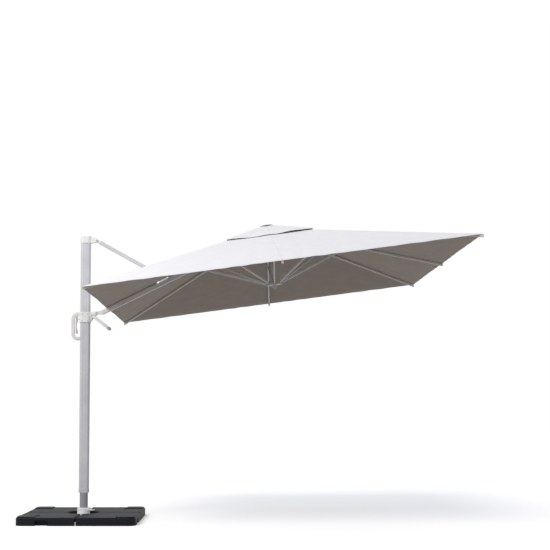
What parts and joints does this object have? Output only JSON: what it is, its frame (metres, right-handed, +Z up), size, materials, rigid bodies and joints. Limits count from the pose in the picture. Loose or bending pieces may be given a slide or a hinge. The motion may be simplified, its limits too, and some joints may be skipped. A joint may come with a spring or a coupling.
{
  "type": "cantilever parasol",
  "caption": "Free-standing cantilever parasol: a ballasted cross base, turning mast, crank carriage, raising boom and strut, and a square folding canopy with a vent.",
  "frame": {"origin": "on the ground, under the mast axis", "axes": "+Z up, +X from the mast towards the canopy, +Y to the back"},
  "size_m": [3.6662, 3.0146, 2.5961],
  "materials": {
    "mast_paint": "powder-coated light grey, satin",
    "frame_steel": "painted steel, satin",
    "light_plastic": "moulded light grey plastic, fine grain",
    "cap_plastic": "moulded dark grey plastic",
    "knob_plastic": "moulded light grey plastic",
    "ballast_shell": "moulded near-black plastic, grained",
    "grey_plastic": "moulded grey plastic",
    "black_rubber": "moulded black rubber",
    "pin_steel": "bright zinc-plated steel",
    "rib_aluminium": "powder-coated light grey, satin",
    "canopy_fabric": "woven polyester, white outside, taupe inside",
    "cord_polyester": "braided polyester cord"
  },
  "bodies": {
    "base": {"cross_bar_long": "frame_steel", "cross_bar_short": "frame_steel", "leg_end_caps": "light_plastic", "ballast_back_right": "ballast_shell", "ballast_back_left": "ballast_shell", "ballast_front_left": "ballast_shell", "ballast_front_right": "ballast_shell", "base_flange": "mast_paint", "flange_bolts": "knob_plastic", "pivot_tube": "frame_steel", "bearing_washer": "grey_plastic"},
    "mast": {"turntable": "mast_paint", "mast_tube": "mast_paint", "mast_collar": "light_plastic", "head_cap": "cap_plastic", "mast_pins": "pin_steel"},
    "pedal": {"lock_pedal": "light_plastic"},
    "strut": {"strut_tube": "mast_paint", "strut_eyes": "light_plastic"},
    "boom": {"boom_tube": "mast_paint", "boom_root_eye": "light_plastic", "boom_bracket": "mast_paint", "bracket_pins": "pin_steel", "boom_crown_end": "light_plastic", "boom_end_trim": "mast_paint", "hoist_cord_boom": "cord_polyester"},
    "carriage": {"carriage_body": "light_plastic", "guide_liner": "grey_plastic", "handle_grip": "light_plastic", "carriage_pins": "pin_steel", "carriage_screws": "pin_steel"},
    "crank": {"crank_spindle": "pin_steel", "crank_arm": "light_plastic", "crank_grip": "black_rubber"},
    "trigger": {"trigger": "grey_plastic"},
    "lock": {"lock_pin": "pin_steel"},
    "crown": {"crown": "grey_plastic", "crown_pins": "pin_steel", "finial": "cap_plastic", "canopy_cover": "canopy_fabric", "vent_cover": "canopy_fabric", "hoist_cord_drop": "cord_polyester"},
    "pulley": {"pulley": "grey_plastic"},
    "runner": {"runner": "grey_plastic", "runner_pins": "pin_steel"},
    "stretcher_boom": {"stretcher_boom": "rib_aluminium"},
    "rib_right": {"rib_right": "rib_aluminium"},
    "stretcher_right": {"stretcher_right": "rib_aluminium"},
    "rib_back_right": {"rib_back_right": "rib_aluminium"},
    "stretcher_back_right": {"stretcher_back_right": "rib_aluminium"},
    "rib_back": {"rib_back": "rib_aluminium"},
    "stretcher_back": {"stretcher_back": "rib_aluminium"},
    "rib_back_left": {"rib_back_left": "rib_aluminium"},
    "stretcher_back_left": {"stretcher_back_left": "rib_aluminium"},
    "rib_front_left": {"rib_front_left": "rib_aluminium"},
    "stretcher_front_left": {"stretcher_front_left": "rib_aluminium"},
    "rib_front": {"rib_front": "rib_aluminium"},
    "stretcher_front": {"stretcher_front": "rib_aluminium"},
    "rib_front_right": {"rib_front_right": "rib_aluminium"},
    "stretcher_front_right": {"stretcher_front_right": "rib_aluminium"}
  },
  "joints": [
    {"name": "mast_turn", "type": "hinge", "parent": "base", "child": "mast", "pos_m": [0, 0, 0.2], "axis": [0, 0, 1], "continuous": true},
    {"name": "pedal_press", "type": "hinge", "parent": "mast", "child": "pedal", "pos_m": [0.05056, -0.04242, 0.094], "axis": [0.6428, 0.766, 0], "range_deg": [0, 9], "stiffness_Nm_per_rad": 8, "springref_deg": -5.73},
    {"name": "strut_swing", "type": "hinge", "parent": "mast", "child": "strut", "pos_m": [0.1, 0, 2.455], "axis": [0, 1, 0], "range_deg": [-15, 50]},
    {"name": "boom_swing", "type": "hinge", "parent": "strut", "child": "boom", "pos_m": [0.67641, 0, 2.13352], "axis": [0, 1, 0], "range_deg": [-100, 30]},
    {"name": "carriage_level", "type": "hinge", "parent": "boom", "child": "carriage", "pos_m": [0.1, 0, 1.81203], "axis": [0, 1, 0], "range_deg": [-15, 50]},
    {"name": "crown_fold", "type": "hinge", "parent": "boom", "child": "crown", "pos_m": [1.54853, 0, 2.5248], "axis": [0, 1, 0], "range_deg": [0, 66], "deforming": ["canopy_cover", "vent_cover"]},
    {"name": "crank_spin", "type": "hinge", "parent": "carriage", "child": "crank", "pos_m": [0.07, 0, 1.78603], "axis": [0, 1, 0], "range_deg": [-2880, 0]},
    {"name": "trigger_pull", "type": "hinge", "parent": "carriage", "child": "trigger", "pos_m": [-0.0745, 0, 1.78103], "axis": [0, 1, 0], "range_deg": [0, 3.5], "stiffness_Nm_per_rad": 12, "springref_deg": -3.44},
    {"name": "lock_release", "type": "slide", "parent": "carriage", "child": "lock", "axis": [-1, 0, 0], "range_m": [0, 0.0012]},
    {"name": "pulley_spin", "type": "hinge", "parent": "crown", "child": "pulley", "pos_m": [1.5924, 0, 2.51346], "axis": [0, 1, 0], "range_deg": [0, 2659.31]},
    {"name": "rib_right_fold", "type": "hinge", "parent": "crown", "child": "rib_right", "pos_m": [1.66749, 0, 2.54057], "axis": [0, 1, 0], "range_deg": [0, 66]},
    {"name": "stretcher_right_fold", "type": "hinge", "parent": "rib_right", "child": "stretcher_right", "pos_m": [2.30037, 0, 2.39074], "axis": [0, 1, 0], "range_deg": [-132, 0]},
    {"name": "rib_back_right_fold", "type": "hinge", "parent": "crown", "child": "rib_back_right", "pos_m": [1.65007, 0.04243, 2.53826], "axis": [-0.701, 0.7071, -0.0929], "range_deg": [0, 66]},
    {"name": "stretcher_back_right_fold", "type": "hinge", "parent": "rib_back_right", "child": "stretcher_back_right", "pos_m": [2.10067, 0.47456, 2.42746], "axis": [-0.701, 0.7071, -0.0929], "range_deg": [-122.31, 0]},
    {"name": "rib_back_fold", "type": "hinge", "parent": "crown", "child": "rib_back", "pos_m": [1.60801, 0.06, 2.53268], "axis": [-0.9913, 0, -0.1314], "range_deg": [0, 66]},
    {"name": "stretcher_back_fold", "type": "hinge", "parent": "rib_back", "child": "stretcher_back", "pos_m": [1.63845, 0.66771, 2.30301], "axis": [-0.9913, 0, -0.1314], "range_deg": [-132, 0]},
    {"name": "rib_back_left_fold", "type": "hinge", "parent": "crown", "child": "rib_back_left", "pos_m": [1.56596, 0.04243, 2.52711], "axis": [-0.701, -0.7071, -0.0929], "range_deg": [0, 66]},
    {"name": "stretcher_back_left_fold", "type": "hinge", "parent": "rib_back_left", "child": "stretcher_back_left", "pos_m": [1.15977, 0.47456, 2.30275], "axis": [-0.701, -0.7071, -0.0929], "range_deg": [-122.31, 0]},
    {"name": "rib_front_left_fold", "type": "hinge", "parent": "crown", "child": "rib_front_left", "pos_m": [1.56596, -0.04243, 2.52711], "axis": [0.701, -0.7071, 0.0929], "range_deg": [0, 66]},
    {"name": "stretcher_front_left_fold", "type": "hinge", "parent": "rib_front_left", "child": "stretcher_front_left", "pos_m": [1.15977, -0.47456, 2.30275], "axis": [0.701, -0.7071, 0.0929], "range_deg": [-122.31, 0]},
    {"name": "rib_front_fold", "type": "hinge", "parent": "crown", "child": "rib_front", "pos_m": [1.60801, -0.06, 2.53268], "axis": [0.9913, 0, 0.1314], "range_deg": [0, 66]},
    {"name": "stretcher_front_fold", "type": "hinge", "parent": "rib_front", "child": "stretcher_front", "pos_m": [1.63845, -0.66771, 2.30301], "axis": [0.9913, 0, 0.1314], "range_deg": [-132, 0]},
    {"name": "rib_front_right_fold", "type": "hinge", "parent": "crown", "child": "rib_front_right", "pos_m": [1.65007, -0.04243, 2.53826], "axis": [0.701, 0.7071, 0.0929], "range_deg": [0, 66]},
    {"name": "stretcher_front_right_fold", "type": "hinge", "parent": "rib_front_right", "child": "stretcher_front_right", "pos_m": [2.10067, -0.47456, 2.42746], "axis": [0.701, 0.7071, 0.0929], "range_deg": [-122.31, 0]},
    {"name": "stretcher_boom_fold", "type": "hinge", "parent": "boom", "child": "stretcher_boom", "pos_m": [0.97653, 0, 2.21528], "axis": [0, 1, 0], "range_deg": [0, 132]},
    {"name": "runner_level", "type": "hinge", "parent": "stretcher_boom", "child": "runner", "pos_m": [1.60941, 0, 2.06546], "axis": [0, 1, 0], "range_deg": [-66, 0]}
  ],
  "couplings": [
    {"joint": "boom_swing", "follows": "strut_swing", "ratio": -2},
    {"joint": "carriage_level", "follows": "strut_swing", "ratio": 1},
    {"joint": "crank_spin", "follows": "crown_fold", "ratio": -43.636},
    {"joint": "pulley_spin", "follows": "crown_fold", "ratio": 40.292},
    {"joint": "lock_release", "follows": "trigger_pull", "m_per_rad": 0.019644},
    {"joint": "rib_right_fold", "follows": "crown_fold", "ratio": 1},
    {"joint": "stretcher_right_fold", "follows": "crown_fold", "ratio": -2},
    {"joint": "rib_back_right_fold", "follows": "crown_fold", "ratio": 1},
    {"joint": "stretcher_back_right_fold", "follows": "crown_fold", "ratio": -1.8531},
    {"joint": "rib_back_fold", "follows": "crown_fold", "ratio": 1},
    {"joint": "stretcher_back_fold", "follows": "crown_fold", "ratio": -2},
    {"joint": "rib_back_left_fold", "follows": "crown_fold", "ratio": 1},
    {"joint": "stretcher_back_left_fold", "follows": "crown_fold", "ratio": -1.8531},
    {"joint": "rib_front_left_fold", "follows": "crown_fold", "ratio": 1},
    {"joint": "stretcher_front_left_fold", "follows": "crown_fold", "ratio": -1.8531},
    {"joint": "rib_front_fold", "follows": "crown_fold", "ratio": 1},
    {"joint": "stretcher_front_fold", "follows": "crown_fold", "ratio": -2},
    {"joint": "rib_front_right_fold", "follows": "crown_fold", "ratio": 1},
    {"joint": "stretcher_front_right_fold", "follows": "crown_fold", "ratio": -1.8531},
    {"joint": "stretcher_boom_fold", "follows": "crown_fold", "ratio": 2},
    {"joint": "runner_level", "follows": "crown_fold", "ratio": -1}
  ]
}
